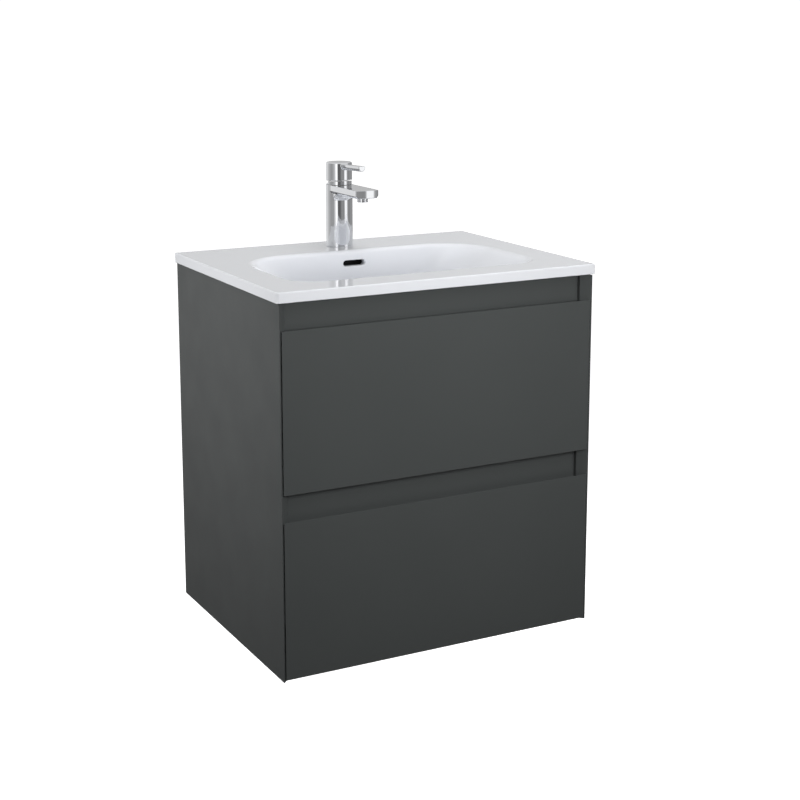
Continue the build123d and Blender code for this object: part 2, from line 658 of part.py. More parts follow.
def drawer_clip(runner_base):
    """A runner clip under a drawer's front corner, with the finger lever that releases the drawer."""
    top = runner_base + BOTTOM_ABOVE_RUNNER
    clip = block((206, 238), (FRONT_BACK + 2, -404), (top - 11, top))
    return clip - block((206, 226), (-426, -404), (top - 11, top - 4))


def make_drawer(name, front_base, runner_base, side_height):
    save(f"{name}_front", drawer_front(front_base))
    side = drawer_side(runner_base, side_height)
    save(f"{name}_side_right", side)
    save(f"{name}_side_left", other_side(side))
    save(f"{name}_clips", *pair(drawer_clip(runner_base)))

    bottom_z = (runner_base + BOTTOM_ABOVE_RUNNER, runner_base + BOTTOM_ABOVE_RUNNER + DRAWER_BOTTOM)
    reach = DRAWER_INSIDE + GROOVE - 0.2
    bottom = block((-reach, reach), (FRONT_BACK, DRAWER_BACK), bottom_z)
    back_y = (DRAWER_BACK - DRAWER_SIDE, DRAWER_BACK)
    back_z = (bottom_z[1], runner_base + SIDE_ABOVE_RUNNER + side_height)
    if name == "lower_drawer":
        save(f"{name}_bottom", bottom)
        save(f"{name}_back", block((-DRAWER_INSIDE, DRAWER_INSIDE), back_y, back_z))
        return
    save(f"{name}_bottom", bottom - block((-TRAP_BAY, TRAP_BAY), (TRAP_BAY_FRONT, 0), bottom_z))
    wall = TRAP_BAY + COVER_WALL
    half_back = block((wall, DRAWER_INSIDE), back_y, back_z)
    save(f"{name}_back_right", half_back)
    save(f"{name}_back_left", other_side(half_back))
    cover = block((-wall, wall), (TRAP_BAY_FRONT - COVER_WALL, DRAWER_BACK), back_z)
    save(f"{name}_trap_cover", cover - block((-TRAP_BAY, TRAP_BAY), (TRAP_BAY_FRONT, 0), back_z))


def runner_profile(y, pieces):
    """One runner member: rectangles in X and Z, joined and run along Y."""
    member = block(pieces[0][0], y, pieces[0][1])
    for x, z in pieces[1:]:
        member += block(x, y, z)
    return member


def make_runners(name, base):
    """Concealed full-extension runners: a track on the cabinet, a middle and a drawer member."""
    y = (RUNNER_FRONT, RUNNER_FRONT + RUNNER_LENGTH)
    track = runner_profile(y, [
        ((236, INSIDE), (base, base + STEEL)),
        ((INSIDE - STEEL, INSIDE), (base, base + 30)),
        ((236, 236 + STEEL), (base, base + SIDE_ABOVE_RUNNER)),
    ])
    for centre in runner_screw_places():
        track -= rod("X", (INSIDE - STEEL, INSIDE), 2 + FIT_GAP, centre)
    save(f"{name}_runner_tracks", *pair(track))

    middle = runner_profile((y[0] + 2, y[1] - 2), [
        ((240, 258), (base + 2, base + 3.2)),
        ((240, 241.2), (base + 2, base + 12)),
        ((256.8, 258), (base + 2, base + 12)),
    ])
    save(f"{name}_runner_middles", *pair(middle))

    top = base + BOTTOM_ABOVE_RUNNER
    member = runner_profile((y[0] + 2, y[1] - 6), [
        ((238.6, 259.4), (top - STEEL, top)),
        ((238.6, 239.7), (base + 4, top)),
        ((258.3, 259.4), (base + 4, top)),
    ])
    save(f"{name}_runner_member_right", member)
    save(f"{name}_runner_member_left", other_side(member))


def make_runner_screws():
    screws = []
    for centre in runner_screw_places():
        head = rod("X", (INSIDE - STEEL - 1.5, INSIDE - STEEL), 3.8, centre)
        screws += pair(head + rod("X", (INSIDE - STEEL, INSIDE + 12), 2, centre))
    save("runner_screws", *screws)


os.makedirs("parts", exist_ok=True)
make_carcass()
make_hangers()
make_basin()
make_tap_body()
make_tap_handle()
make_tap_fixings()
make_waste()
make_trap()
make_drawer("upper_drawer", UPPER_FRONT_BASE, UPPER_RUNNER_BASE, UPPER_SIDE_HEIGHT)
make_drawer("lower_drawer", LOWER_FRONT_BASE, LOWER_RUNNER_BASE, LOWER_SIDE_HEIGHT)
make_runners("upper", UPPER_RUNNER_BASE)
make_runners("lower", LOWER_RUNNER_BASE)
make_runner_screws()
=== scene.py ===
import json
from math import cos, pi, radians, sin, tau

import bmesh
import bpy
import numpy as np
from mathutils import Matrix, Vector


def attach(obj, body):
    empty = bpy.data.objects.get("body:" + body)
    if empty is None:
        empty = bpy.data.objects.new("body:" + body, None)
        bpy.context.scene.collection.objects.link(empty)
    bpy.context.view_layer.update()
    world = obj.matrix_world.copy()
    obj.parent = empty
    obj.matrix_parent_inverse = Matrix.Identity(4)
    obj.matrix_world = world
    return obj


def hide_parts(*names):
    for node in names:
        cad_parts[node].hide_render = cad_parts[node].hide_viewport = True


# The looks of a wall-hung bathroom vanity: matt anthracite carcass and fronts, a glossy white ceramic
# slab basin and a polished chrome tap. Blender's unit is the metre; the shapes below are drawn in
# millimetres, in the row frame or round the tap's axis at deck level, and scaled once by MM.

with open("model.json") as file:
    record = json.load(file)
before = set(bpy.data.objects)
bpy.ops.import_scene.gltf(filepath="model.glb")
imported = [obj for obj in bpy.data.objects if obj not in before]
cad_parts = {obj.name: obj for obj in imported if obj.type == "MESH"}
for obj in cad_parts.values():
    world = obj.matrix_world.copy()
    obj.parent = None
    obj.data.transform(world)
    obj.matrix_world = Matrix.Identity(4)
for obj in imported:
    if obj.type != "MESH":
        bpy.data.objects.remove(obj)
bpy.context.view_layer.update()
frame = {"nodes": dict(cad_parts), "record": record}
NODES = frame["nodes"]
SLOTS = {part["node"]: part["material_slot"] for part in frame["record"]["subparts"]}
BODIES = {node: body for body, nodes in frame["record"]["behaviour"]["bodies"].items() for node in nodes}
MM = 0.001

# ---------------------------------------------------------------- driving dimensions, millimetres
DECK = 654                    # top of the basin's slab
SLAB_BASE = 636
SLAB_HALF = 303
SLAB_FRONT = -465
BOWL_RIM = (236, -396, -126, 55, 98)       # half width, front, rear, front and rear corner radii
BOWL_FLOOR = (128, -380, -132, 24, 24)
FLOOR_FILLET = 14
FLOOR_Z = 549
CERAMIC = 10
DRAIN_Y = -258
OVERFLOW_Z = 630
OVERFLOW_SIZE = (44, 11)      # the slot's width and height
DUCT_INSIDE = ((-26, 26), (-115, -107), (533, 641))       # the overflow duct behind it, in x, y and z
TAP_Y = -65
LEVER_TOP = 157               # above the deck


# ---------------------------------------------------------------- materials
def node_tree(name):
    material = bpy.data.materials.new(name)
    material.use_nodes = True
    nodes = material.node_tree.nodes
    return material, nodes, material.node_tree.links, nodes["Principled BSDF"]


def noise_node(nodes, links, scale, detail=4.0, stretch=None):
    """Noise over the piece's own coordinates, so it stays on the piece as that moves."""
    coordinates = nodes.new("ShaderNodeTexCoord")
    noise = nodes.new("ShaderNodeTexNoise")
    noise.inputs["Scale"].default_value = scale
    noise.inputs["Detail"].default_value = detail
    source = coordinates.outputs["Object"]
    if stretch:
        mapping = nodes.new("ShaderNodeMapping")
        mapping.inputs["Scale"].default_value = stretch
        links.new(source, mapping.inputs["Vector"])
        source = mapping.outputs["Vector"]
    links.new(source, noise.inputs["Vector"])
    return noise.outputs["Fac"]


def spread(nodes, links, source, low, high):
    ranged = nodes.new("ShaderNodeMapRange")
    ranged.inputs["From Min"].default_value = 0.3
    ranged.inputs["From Max"].default_value = 0.7
    ranged.inputs["To Min"].default_value = low
    ranged.inputs["To Max"].default_value = high
    links.new(source, ranged.inputs["Value"])
    return ranged.outputs["Result"]


def surface(name, colour, other, roughness, *, clouds, grain, bump, metallic=0.0, stretch=None, **sockets):
    """A Principled material: colour drifts between two tones over the clouds' scale, roughness over
    half that scale, and a fine bump of the given height in metres sits on the grain's scale."""
    material, nodes, links, shader = node_tree(name)
    ramp = nodes.new("ShaderNodeValToRGB")
    ramp.color_ramp.elements[0].position = 0.3
    ramp.color_ramp.elements[0].color = (*colour, 1)
    ramp.color_ramp.elements[1].position = 0.7
    ramp.color_ramp.elements[1].color = (*other, 1)
    links.new(noise_node(nodes, links, clouds, 5.0, stretch), ramp.inputs["Fac"])
    links.new(ramp.outputs["Color"], shader.inputs["Base Color"])
    rough = noise_node(nodes, links, clouds * 2.3, 3.0, stretch)
    links.new(spread(nodes, links, rough, *roughness), shader.inputs["Roughness"])
    bumps = nodes.new("ShaderNodeBump")
    bumps.inputs["Strength"].default_value = 1.0
    bumps.inputs["Distance"].default_value = bump
    links.new(noise_node(nodes, links, grain, 2.0, stretch), bumps.inputs["Height"])
    links.new(bumps.outputs["Normal"], shader.inputs["Normal"])
    shader.inputs["Metallic"].default_value = metallic
    for socket, value in sockets.items():
        shader.inputs[socket.replace("_", " ")].default_value = value
    return material


FINISHES = {
    "anthracite_board": surface(
        "matt_anthracite", (0.063, 0.068, 0.0675), (0.066, 0.071, 0.0705), (0.42, 0.48),
        clouds=6, grain=1400, bump=0.00001, Specular_IOR_Level=0.25,
    ),
    "drawer_board": surface(
        "melamine_board", (0.060, 0.062, 0.064), (0.085, 0.087, 0.089), (0.5, 0.62),
        clouds=90, grain=1800, bump=0.00003, stretch=(1.0, 0.12, 1.0),
    ),
    "zinc_fitting": surface(
        "zinc_plate", (0.42, 0.43, 0.44), (0.55, 0.56, 0.58), (0.28, 0.42),
        clouds=140, grain=900, bump=0.00002, metallic=1.0,
    ),
    "runner_steel": surface(
        "galvanised_steel", (0.40, 0.41, 0.42), (0.52, 0.53, 0.54), (0.30, 0.44),
        clouds=110, grain=700, bump=0.00002, metallic=1.0, stretch=(1.0, 0.15, 1.0),
    ),
    "hanger_plastic": surface(
        "grey_nylon", (0.20, 0.205, 0.21), (0.25, 0.255, 0.26), (0.42, 0.55),
        clouds=60, grain=1500, bump=0.00003,
    ),
    "clip_plastic": surface(
        "dark_nylon", (0.10, 0.102, 0.105), (0.14, 0.142, 0.145), (0.42, 0.55),
        clouds=60, grain=1500, bump=0.00003,
    ),
    "cover_plastic": surface(
        "moulded_cover", (0.11, 0.112, 0.115), (0.14, 0.142, 0.145), (0.45, 0.58),
        clouds=40, grain=1300, bump=0.00004,
    ),
    "ceramic": surface(
        "glazed_ceramic", (0.77, 0.785, 0.82), (0.785, 0.80, 0.835), (0.035, 0.06),
        clouds=5, grain=18, bump=0.00008, Coat_Weight=0.4, Coat_Roughness=0.03,
    ),
    "sealant": surface(
        "clear_silicone", (0.62, 0.63, 0.64), (0.70, 0.71, 0.72), (0.30, 0.42),
        clouds=50, grain=300, bump=0.00005,
    ),
    "chrome": surface(
        "polished_chrome", (0.80, 0.81, 0.83), (0.84, 0.85, 0.87), (0.025, 0.05),
        clouds=30, grain=60, bump=0.000006, metallic=1.0,
    ),
    "brass": surface(
        "turned_brass", (0.62, 0.46, 0.20), (0.72, 0.55, 0.27), (0.22, 0.36),
        clouds=90, grain=1200, bump=0.00002, metallic=1.0,
    ),
    "cartridge_plastic": surface(
        "cartridge_polymer", (0.62, 0.62, 0.60), (0.70, 0.70, 0.68), (0.35, 0.48),
        clouds=60, grain=1200, bump=0.00002,
    ),
    "rubber_seal": surface(
        "black_rubber", (0.020, 0.020, 0.021), (0.032, 0.032, 0.033), (0.60, 0.75),
        clouds=80, grain=1500, bump=0.00005,
    ),
    "trap_plastic": surface(
        "white_polypropylene", (0.72, 0.73, 0.73), (0.79, 0.80, 0.80), (0.32, 0.45),
        clouds=40, grain=900, bump=0.00004,
    ),
}


# the stem is seen in the gap between the lever's cap and the collar, and it is plated
NODE_FINISHES = {
    "tap_stem": surface(
        "nickel_plate", (0.50, 0.495, 0.48), (0.58, 0.575, 0.56), (0.20, 0.32),
        clouds=90, grain=1200, bump=0.00002, metallic=1.0,
    ),
}
# painted shade: a near-black material that stands in for the shadow inside the overflow duct, not a real dark
# lining
PAINTED_DUCT_SHADE = surface(
    "painted_duct_shade", (0.004, 0.004, 0.004), (0.006, 0.006, 0.006), (0.85, 0.95),
    clouds=60, grain=900, bump=0.00002,
)


# ---------------------------------------------------------------- outlines and meshes
def rounded(points, radius, steps=4):
    """An open polyline with each inner corner turned into an arc; a radius per corner or one for all."""
    points = [Vector(p) for p in points]
    radii = radius if isinstance(radius, (list, tuple)) else [radius] * (len(points) - 2)
    out = [points[0]]
    for before, corner, after, r in zip(points, points[1:], points[2:], radii):
        into, away = (before - corner).normalized(), (after - corner).normalized()
        half = into.angle(away) / 2
        if r <= 0 or half > pi / 2 - 0.02:
            out.append(corner)
            continue
        reach = r / np.tan(half)
        centre = corner + (into + away).normalized() * (r / sin(half))
        first, last = corner + into * reach - centre, corner + away * reach - centre
        span = first.angle(last)
        for i in range(steps + 1):
            t = i / steps
            arm = (first * sin((1 - t) * span) + last * sin(t * span)) / sin(span)
            out.append(centre + arm)
    out.append(points[-1])
    return [tuple(p) for p in out]


def corner_loop(half_width, front, rear, front_radius, rear_radius, side=14, turn=14):
    """Points round a rectangle with rounded corners, always as many and in the same order."""
    corners = [
        (half_width - front_radius, front + front_radius, front_radius, -90),
        (half_width - rear_radius, rear - rear_radius, rear_radius, 0),
        (rear_radius - half_width, rear - rear_radius, rear_radius, 90),
        (front_radius - half_width, front + front_radius, front_radius, 180),
    ]
    points = []
    for i, (x, y, radius, start) in enumerate(corners):
        for step in range(turn + 1):
            angle = radians(start + 90 * step / turn)
            points.append((x + radius * cos(angle), y + radius * sin(angle)))
        after = corners[(i + 1) % 4]
        angle = radians(start + 90)
        begin = points[-1]
        end = (after[0] + after[2] * cos(angle), after[1] + after[2] * sin(angle))
        for step in range(1, side):
            t = step / side
            points.append((begin[0] + (end[0] - begin[0]) * t, begin[1] + (end[1] - begin[1]) * t))
    return np.array(points)


def ring_faces(count, around, closed=False):
    """Quads between successive rings of points, and from the last ring to the first if closed."""
    faces = []
    for ring in range(count if closed else count - 1):
        after = (ring + 1) % count
        for i in range(around):
            j = (i + 1) % around
            faces.append((ring * around + i, ring * around + j, after * around + j, after * around + i))
    return faces


def make_mesh(name, points, faces):
    mesh = bpy.data.meshes.new(name)
    mesh.from_pydata((np.asarray(points) * MM).tolist(), [], [list(map(int, f)) for f in faces])
    mesh.validate()
    work = bmesh.new()
    work.from_mesh(mesh)
    bmesh.ops.remove_doubles(work, verts=work.verts, dist=1e-7)
    bmesh.ops.recalc_face_normals(work, faces=work.faces)
    work.to_mesh(mesh)
    work.free()
    mesh.shade_smooth()
    return mesh


def piece(name, mesh, node, *others):
    """A new visible piece that stands for a CAD node, and for any others that it takes in."""
    made = bpy.data.objects.new(name, mesh)
    bpy.context.scene.collection.objects.link(made)
    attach(made, BODIES[node])
    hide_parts(node, *others)
    mesh.materials.append(FINISHES[SLOTS[node]])
    return made


def weigh_normals(made, sharp=40):
    """Shades large flat faces flat and the small ones between them round."""
    made.data.set_sharp_from_angle(angle=radians(sharp))
    weighted = made.modifiers.new("weighted", "WEIGHTED_NORMAL")
    weighted.keep_sharp = True


def lathe(name, profile, centre, around=96):
    """A turned solid from (radius, height) points; ends on the axis close it, otherwise it is a ring."""
    closed = profile[0][0] > 0
    points, faces, rings = [], [], []
    for radius, height in profile:
        if radius == 0:
            rings.append([len(points)])
            points.append((centre[0], centre[1], height))
            continue
        rings.append(list(range(len(points), len(points) + around)))
        for i in range(around):
            angle = tau * i / around
            points.append((centre[0] + radius * cos(angle), centre[1] + radius * sin(angle), height))
    pairs = list(zip(rings, rings[1:])) + ([(rings[-1], rings[0])] if closed else [])
    for low, high in pairs:
        for i in range(around):
            j = (i + 1) % around
            corners = (low[i % len(low)], low[j % len(low)], high[j % len(high)], high[i % len(high)])
            faces.append(tuple(dict.fromkeys(corners)))
    return make_mesh(name, points, faces)


# ---------------------------------------------------------------- smooth solids from distances
def joined(a, b, radius=0.0):
    """The nearer of two distances, with a fillet of that radius where the two solids meet."""
    if radius == 0:
        return np.minimum(a, b)
    reach = np.hypot(np.maximum(radius - a, 0), np.maximum(radius - b, 0))
    return np.maximum(radius, np.minimum(a, b)) - reach


def common(a, b, radius=0.0):
    """What two solids share, with its new edge rounded to that radius."""
    return -joined(-a, -b, radius)


def column(x, y, radius):
    return np.hypot(x, y) - radius


def slope(distance, p, step=0.01):
    found = np.empty_like(p)
    for i in range(3):
        shift = np.zeros(3)
        shift[i] = step
        found[:, i] = distance(*(p + shift).T) - distance(*(p - shift).T)
    return found / (2 * step)


def skin(name, distance, low, high, cell, place):
    """A quad mesh on the surface where the distance is zero, with that surface's own normals."""
    low, high = np.array(low, float), np.array(high, float)
    counts = np.ceil((high - low) / cell).astype(int) + 1
    axes = [low[i] + cell * np.arange(counts[i]) for i in range(3)]
    inside = distance(*np.meshgrid(*axes, indexing="ij")) < 0
    total = np.zeros(counts - 1, int)
    for i in (0, 1):
        for j in (0, 1):
            for k in (0, 1):
                total += inside[i:counts[0] - 1 + i, j:counts[1] - 1 + j, k:counts[2] - 1 + k]
    mixed = (total > 0) & (total < 8)
    ids = np.full(mixed.shape, -1)
    ids[mixed] = np.arange(mixed.sum())
    quads = []
    for a in range(3):
        order = (a, (a + 1) % 3, (a + 2) % 3)
        solid, cells = np.moveaxis(inside, order, (0, 1, 2)), np.moveaxis(ids, order, (0, 1, 2))
        here, there = solid[:-1, 1:-1, 1:-1], solid[1:, 1:-1, 1:-1]
        for crossing, way in ((here & ~there, 1), (~here & there, -1)):
            i, j, k = np.nonzero(crossing)
            ring = [cells[i, j, k], cells[i, j + 1, k], cells[i, j + 1, k + 1], cells[i, j, k + 1]]
            quads.append(np.stack(ring, 1)[:, ::way])
    quads = np.concatenate(quads)
    p = (np.argwhere(mixed) + 0.5) * cell + low
    for relax in (0, 0.6, 0.6, 0.4, 0):
        if relax:
            middle = p[quads].mean(1)
            spread_to, hits = np.zeros_like(p), np.zeros(len(p))
            for corner in range(4):
                np.add.at(spread_to, quads[:, corner], middle)
                np.add.at(hits, quads[:, corner], 1)
            p += relax * (spread_to / hits[:, None] - p)
        for _ in range(3):
            g = slope(distance, p)
            p -= g * (distance(*p.T) / np.maximum((g ** 2).sum(1), 0.05))[:, None]
    g = slope(distance, p)
    normals = g / np.linalg.norm(g, axis=1)[:, None]
    mesh = bpy.data.meshes.new(name)
    mesh.from_pydata(((p + place) * MM).tolist(), [], quads.tolist())
    mesh.shade_smooth()
    mesh.normals_split_custom_set_from_vertices(normals.tolist())
    return mesh


# ---------------------------------------------------------------- basin
def basin_rings():
    """Rings from the drain's bore up over the bowl and deck, round the slab's edge and back underneath."""
    hw, front, rear, rf, rr = BOWL_RIM
    fw, ff, fr, gf, gr = BOWL_FLOOR
    rings = []

    def wall(t, grow):
        """The bowl's wall loop, from the floor at t = 0 to the deck at t = 1, moved outwards by grow."""
        mix = [a + (b - a) * t for a, b in zip((fw, ff, fr, gf, gr), (hw, front, rear, rf, rr))]
        return corner_loop(mix[0] + grow, mix[1] - grow, mix[2] + grow, mix[3] + grow, mix[4] + grow)

    def bore(radius):
        loop = wall(0, 0)
        angle = np.unwrap(np.arctan2(loop[:, 1] - DRAIN_Y, loop[:, 0]))
        return np.c_[radius * np.cos(angle), DRAIN_Y + radius * np.sin(angle)]

    def add(loop, z):
        rings.append(np.c_[loop, np.full(len(loop), z)])

    def between(a, b, t):
        return a + (b - a) * t

    # drain bore and the recess for the waste's flange
    for radius, z in rounded([(22.5, FLOOR_Z - 21), (22.5, FLOOR_Z - 3), (33, FLOOR_Z - 3), (33, FLOOR_Z),
                              (40, FLOOR_Z)], [0.6, 0.6, 1.2], 3):
        add(bore(radius), z)
    # floor, then a fillet into the wall
    inner = wall(0, -FLOOR_FILLET - 2)
    for t in (0.12, 0.3, 0.5, 0.7, 0.85, 1.0):
        add(between(bore(40), inner, t), FLOOR_Z)
    depth = DECK - FLOOR_Z
    for step in range(1, 11):
        bend = radians(90 * step / 10)
        height = FLOOR_FILLET * (1 - cos(bend))
        add(wall(height / depth, -FLOOR_FILLET * (1 - sin(bend))), FLOOR_Z + height)
    # wall
    rim = 7
    for t in np.linspace(FLOOR_FILLET / depth, 1 - rim / depth, 14)[1:]:
        add(wall(t, 0), FLOOR_Z + t * depth)
    # rounded rim on to the deck
    for step in range(1, 9):
        bend = radians(90 * step / 8)
        t = 1 - rim / depth + rim * sin(bend) / depth
        add(wall(t, rim * (1 - cos(bend))), FLOOR_Z + t * depth)
    top = wall(1, rim)

    def slab(inset):
        held = min(inset, 4)
        return corner_loop(SLAB_HALF - inset, SLAB_FRONT + inset, -inset, 5 - held, 4.2 - held)

    for t in (0.03, 0.3, 0.6, 0.9):
        add(between(top, slab(3.2), t), DECK)
    edge = rounded([(3.2, DECK), (0, DECK), (0, SLAB_BASE), (6, SLAB_BASE)], [2.4, 1.2], 5)
    for inset, z in edge:
        add(slab(inset), z)
    # underside: under the slab, down the outside of the bowl and in to the drain's boss
    under = wall(1 - (DECK - SLAB_BASE) / depth, CERAMIC + 3)
    for t in (0.5, 1.0):
        add(between(slab(6), under, t), SLAB_BASE)
    for t in np.linspace(1 - (DECK - SLAB_BASE) / depth - 0.03, 0.14, 8):
        add(wall(t, CERAMIC), FLOOR_Z + t * depth)
    base = FLOOR_Z - CERAMIC
    for step in range(1, 6):
        bend = radians(90 * step / 5)
        add(wall(0, CERAMIC - 24 * (1 - cos(bend))), base + 24.7 * (1 - sin(bend)))
    for radius, z in rounded([(60, base), (36, base), (36, base - 11), (22.5, base - 11)], [2, 1.5], 3)[:-1]:
        add(bore(radius), z)
    return rings


def stadium(width, height, y, grow, steps=12):
    """An upright slot outline at depth y, grown outwards all round."""
    radius = height / 2
    half = width / 2 - radius
    points = []
    for side in (1, -1):
        for i in range(steps + 1):
            angle = radians(-90 + 180 * i / steps)
            points.append((
                side * (half + (radius + grow) * cos(angle)), y,
                OVERFLOW_Z + side * (radius + grow) * sin(angle),
            ))
    return points


def cutter(name, rings):
    """A closed solid through stacked rings, for a boolean."""
    around = len(rings[0])
    points = [p for ring in rings for p in ring]
    faces = ring_faces(len(rings), around)
    faces.append(tuple(range(around)))
    faces.append(tuple(range(len(points) - around, len(points))))
    made = bpy.data.objects.new(name, make_mesh(name, points, faces))
    bpy.context.scene.collection.objects.link(made)
    return made


def carve(made, tool, operation="DIFFERENCE"):
    """Applies one boolean and removes the tool."""
    modifier = made.modifiers.new("carve", "BOOLEAN")
    modifier.operation = operation
    modifier.object = tool
    modifier.solver = "EXACT"
    depsgraph = bpy.context.evaluated_depsgraph_get()
    mesh = bpy.data.meshes.new_from_object(made.evaluated_get(depsgraph))
    made.modifiers.clear()
    made.data = mesh
    bpy.data.objects.remove(tool)


def circle(radius, centre, z, around=64):
    return [(centre[0] + radius * cos(tau * i / around), centre[1] + radius * sin(tau * i / around), z)
            for i in range(around)]


def rectangle(x, y, z):
    return [(x[0], y[0], z), (x[1], y[0], z), (x[1], y[1], z), (x[0], y[1], z)]


def make_basin():
    rings = basin_rings()
    around = len(rings[0])
    mesh = make_mesh("basin_ceramic", np.concatenate(rings), ring_faces(len(rings), around, closed=True))
    basin = bpy.data.objects.new("basin_ceramic", mesh)
    bpy.context.scene.collection.objects.link(basin)
    duct = [rectangle((-34, 34), (-124, -100), z) for z in (528.5, 640)]
    carve(basin, cutter("duct", duct), "UNION")
    across, deep, upright = DUCT_INSIDE
    hollow = [rectangle(across, deep, z) for z in upright]
    carve(basin, cutter("hollow", hollow))
    # the slot's lip is rounded where it meets the bowl's rear wall
    mouth, lip = -127.4, 1.6
    flare = [stadium(*OVERFLOW_SIZE, mouth - 6, lip)]
    for i in range(6):
        bend = radians(90 * i / 5)
        flare.append(stadium(*OVERFLOW_SIZE, mouth + lip * sin(bend), lip * (1 - sin(bend))))
    flare.append(stadium(*OVERFLOW_SIZE, -111, 0))
    carve(basin, cutter("slot", flare))
    carve(basin, cutter("tap_hole", [circle(17.5, (0, TAP_Y), z) for z in (DECK - 30, DECK + 10)]))
    made = piece("basin_ceramic", basin.data, "basin")
    bpy.data.objects.remove(basin)
    made.name = "basin_ceramic"
    # the duct's inner faces get the painted shade, so the cavity behind the slot reads dark
    made.data.materials.append(PAINTED_DUCT_SHADE)
    for face in made.data.polygons:
        place = face.center / MM
        if all(low - 0.5 < value < high + 0.5 for value, (low, high) in zip(place, DUCT_INSIDE)):
            face.material_index = 1
    weigh_normals(made, 38)


# ---------------------------------------------------------------- tap, round its axis at deck level
def body_distance(x, y, z):
    """The barrel, and the spout's plate, which runs down into it on a fillet within the plate's width."""
    barrel = common(column(x, y, 25), -z, 0.6)
    plate = common(joined(column(x, y, 24.9), 100.5 - z, 14.0), y - 4)
    wide = common(np.abs(x) - 23, (np.abs(x) - 19 + 100.5 - z) * 0.7071, 0.8)
    plate = common(plate, np.minimum(wide, np.abs(x) - 19.5), 0.8)
    plate = common(plate, np.hypot(x, y + 42.2) - 77.3, 1.2)
    body = joined(barrel, plate, 1.2)
    body = common(body, z - 115.5, 0.9)
    hollow = common(column(x, y, 19.5), 100 - z)
    return common(body, -hollow, 0.5)


def lever_distance(x, y, z):
    """The cap with its lever bar, hollow from below, on a rim that rises to the front and back."""
    crown = np.sqrt(x ** 2 + y ** 2 + (z - 158.4 + 200) ** 2) - 200
    cap = common(column(x, y, 24.4), crown, 2.6)
    top = (z - LEVER_TOP + (y + 96.4) * np.tan(radians(2))) * cos(radians(2))
    bar = np.where(top + 3.2 < 0, np.hypot(x, top + 3.2) - 6.8, np.abs(x) - 6.8)
    bar = common(bar, top, 0.8)
    bar = common(common(bar, -y - 96.3, 1.0), y)
    lever = joined(cap, bar, 1.6)
    fore = (125.0 - (y + 30) * 0.0575 - z) * 0.998
    aft = (122.7 + (y - 10) * 0.32 - z) * 0.952
    lever = common(lever, np.maximum(fore, aft), 0.5)
    hollow = common(column(x, y, 22.5), z - 140, 1.0)
    boss = common(column(x, y, 9.5), 127 - z, 0.3)
    socket = np.maximum(np.maximum(np.abs(x), np.abs(y)) - 4.05, z - 148)
    return common(common(lever, -common(hollow, -boss), 0.3), -socket)


def collar_distance(x, y, z):
    ring = common(column(x, y, 23.6), 115.8 - z, 0.3)
    ring = common(ring, 20.4 - np.hypot(x, y), 0.2)
    front = (z - 121.7 + (y + 8) * 0.1) * 0.995
    back = (z - 117.5 + (y - 8) * 0.2625) * 0.967
    level = np.where(y > 8, z - 117.5, np.where(y < -8, front, back))
    web = common(column(x, y, 21), np.abs(z - 120.15) - 0.85)
    slot = np.maximum(np.abs(x) - 4.3, np.abs(y - 4.5) - 9.5)
    return common(joined(common(ring, level, 0.4), web, 0.3), -slot, 0.2)


def make_tap():
    place = np.array([0, TAP_Y, DECK], float)
    for node, distance, low, high, cell in (
        ("tap_body", body_distance, (-27, -121, -2), (27, 27, 118), 1.0),
        ("tap_lever", lever_distance, (-27, -99, 119), (27, 27, 160), 0.8),
        ("tap_collar", collar_distance, (-26, -26, 113), (26, 26, 126), 0.6),
    ):
        name = node + "_chrome"
        piece(name, skin(name, distance, low, high, cell, place), node)
    centre = (0, TAP_Y - 97)
    shell = rounded([
        (8, DECK + 100.5), (8, DECK + 94.5), (8, DECK + 92.5), (10.2, DECK + 92.5), (10.2, DECK + 94.8),
        (9.6, DECK + 95.1), (9.6, DECK + 96.2), (10.2, DECK + 96.5), (10.2, DECK + 100.5),
    ], [0, 0.5, 0.6, 0.2, 0.1, 0.1, 0.2], 3)
    aerator = piece("tap_aerator_chrome", lathe("tap_aerator_chrome", shell, centre, 72), "tap_aerator")
    weigh_normals(aerator)


def make_plug():
    top = FLOOR_Z + 5
    profile = [(0, 495), (4, 495), (4, FLOOR_Z + 0.5)]
    profile += rounded([(4, FLOOR_Z + 0.5), (32, FLOOR_Z + 0.5), (32, top - 1.2), (22, top - 0.3), (0, top)],
                       [0.6, 1.4, 30], 4)
    plug = piece("waste_plug_chrome", lathe("waste_plug_chrome", profile, (0, DRAIN_Y)), "waste_plug")
    weigh_normals(plug)


# ---------------------------------------------------------------- boards, metal and plastic kept from CAD
# how far each finish's edges are rounded, in metres
EDGES = {
    "anthracite_board": 0.0005, "drawer_board": 0.0004, "trap_plastic": 0.0005, "cover_plastic": 0.0004,
    "hanger_plastic": 0.0004, "clip_plastic": 0.0004, "brass": 0.0003, "zinc_fitting": 0.0002,
    "runner_steel": 0.0002,
}


def soften_edges(node, width):
    """Rounds a CAD shape's edges by modifiers alone, so the shape itself stays the CAD's."""
    shown = NODES[node]
    mesh = shown.data
    if "custom_normal" in mesh.attributes:
        mesh.attributes.remove(mesh.attributes["custom_normal"])
    mesh.shade_smooth()
    weld = shown.modifiers.new("weld", "WELD")
    weld.merge_threshold = 1e-6
    flat = shown.modifiers.new("flat", "DECIMATE")
    flat.decimate_type = "DISSOLVE"
    flat.angle_limit = radians(0.5)
    edge = shown.modifiers.new("edge", "BEVEL")
    edge.width = width
    edge.segments = 2
    edge.limit_method = "ANGLE"
    edge.angle_limit = radians(35)
    edge.harden_normals = True
    edge.miter_outer = "MITER_ARC"


def dress_nodes():
    for node, shown in NODES.items():
        shown.data.materials.clear()
        shown.data.materials.append(NODE_FINISHES.get(node, FINISHES[SLOTS[node]]))
        if not shown.hide_render and SLOTS[node] in EDGES:
            soften_edges(node, EDGES[SLOTS[node]])


# ---------------------------------------------------------------- stage, light and camera
FLOOR_LEVEL = -0.216
FLOOR_GLOW = 1.0


